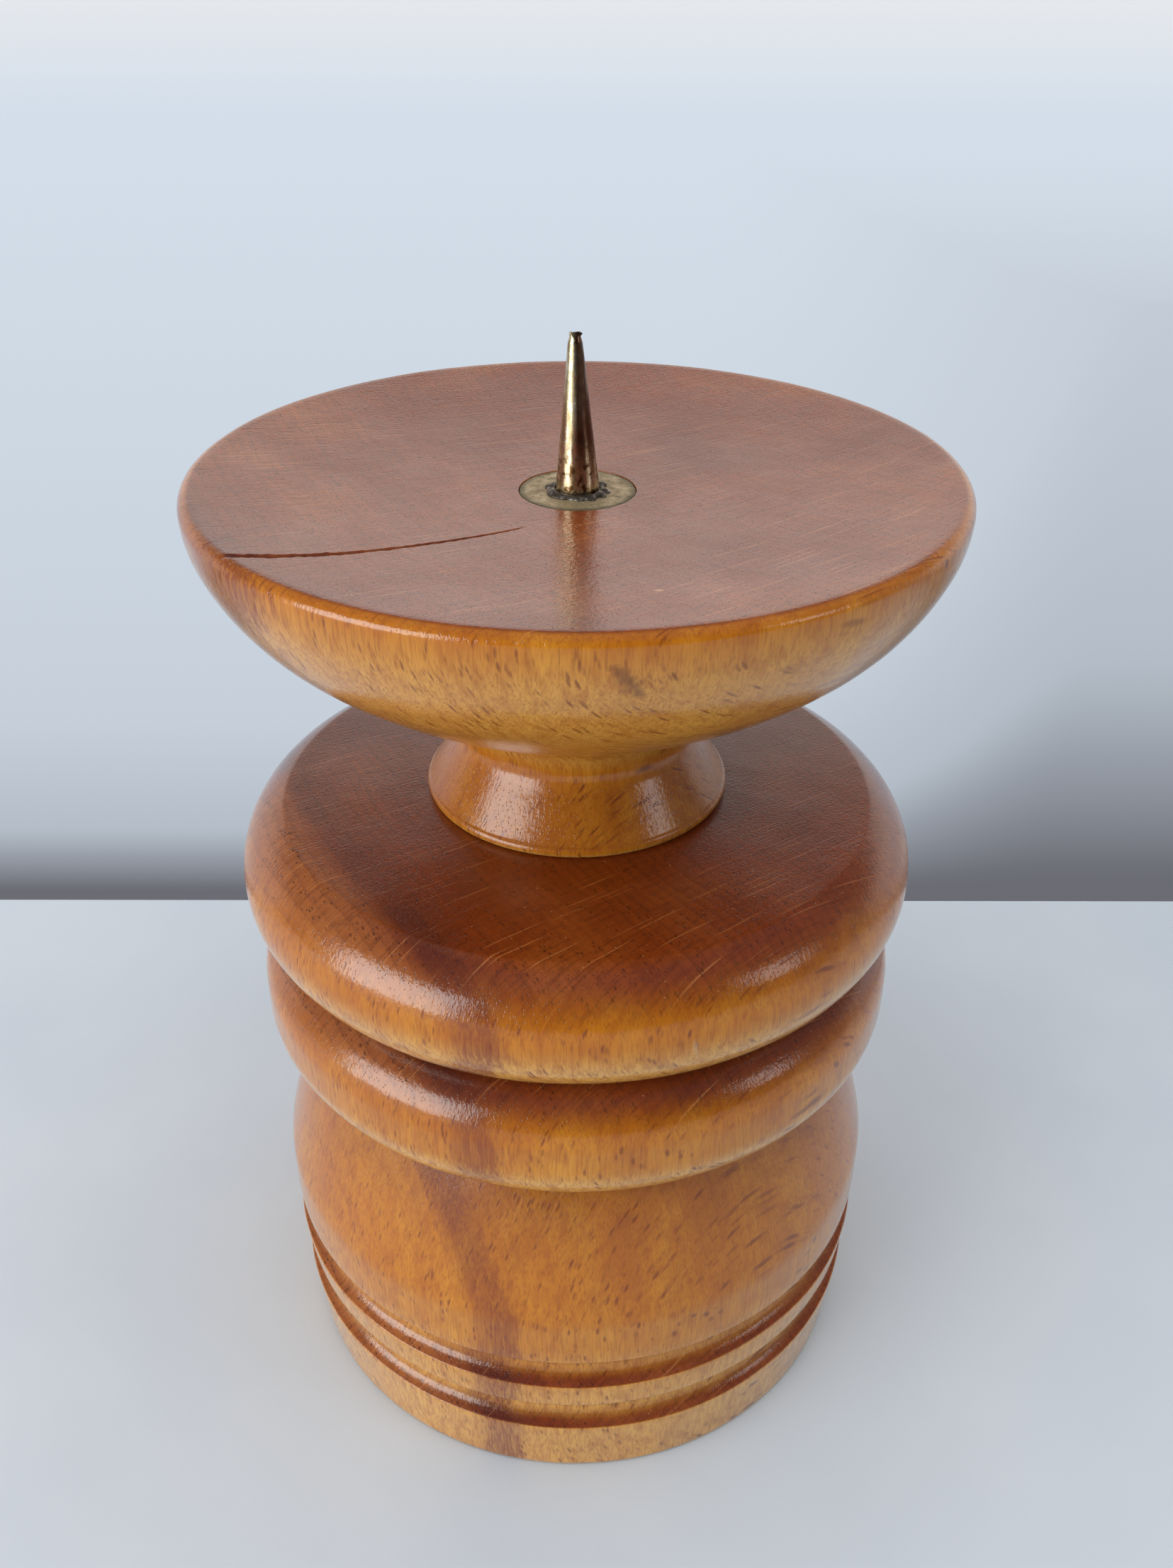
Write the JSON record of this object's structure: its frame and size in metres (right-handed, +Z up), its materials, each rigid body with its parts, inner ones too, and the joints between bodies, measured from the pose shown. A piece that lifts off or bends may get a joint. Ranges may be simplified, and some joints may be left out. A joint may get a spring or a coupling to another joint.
{
  "type": "candlestick",
  "caption": "Turned and varnished beech candlestick: a barrel base with rings and grooves, and a shallow drip pan on a short neck with a brass spike.",
  "frame": {"origin": "centre of the underside, on the surface that the candlestick stands on", "axes": "+Z up along the lathe axis, towards the spike; the pictured front faces -Y"},
  "size_m": [0.1, 0.1, 0.16],
  "materials": {
    "varnished_beech": "orange clear varnish over vertical beech grain, glossy, worn on the rims",
    "bare_beech": "bare, planed",
    "tarnished_brass": "dull olive-grey tarnish with scratches",
    "spike_brass": "rubbed brass, darker towards the tip",
    "solder": "dull grey, uneven",
    "felt": "pressed wool felt"
  },
  "bodies": {
    "root": {"turned_base": "varnished_beech", "drip_pan": "varnished_beech", "joining_dowel": "bare_beech", "brass_disc": "tarnished_brass", "candle_spike": "spike_brass", "solder_fillet": "solder", "felt_disc": "felt"}
  },
  "joints": []
}
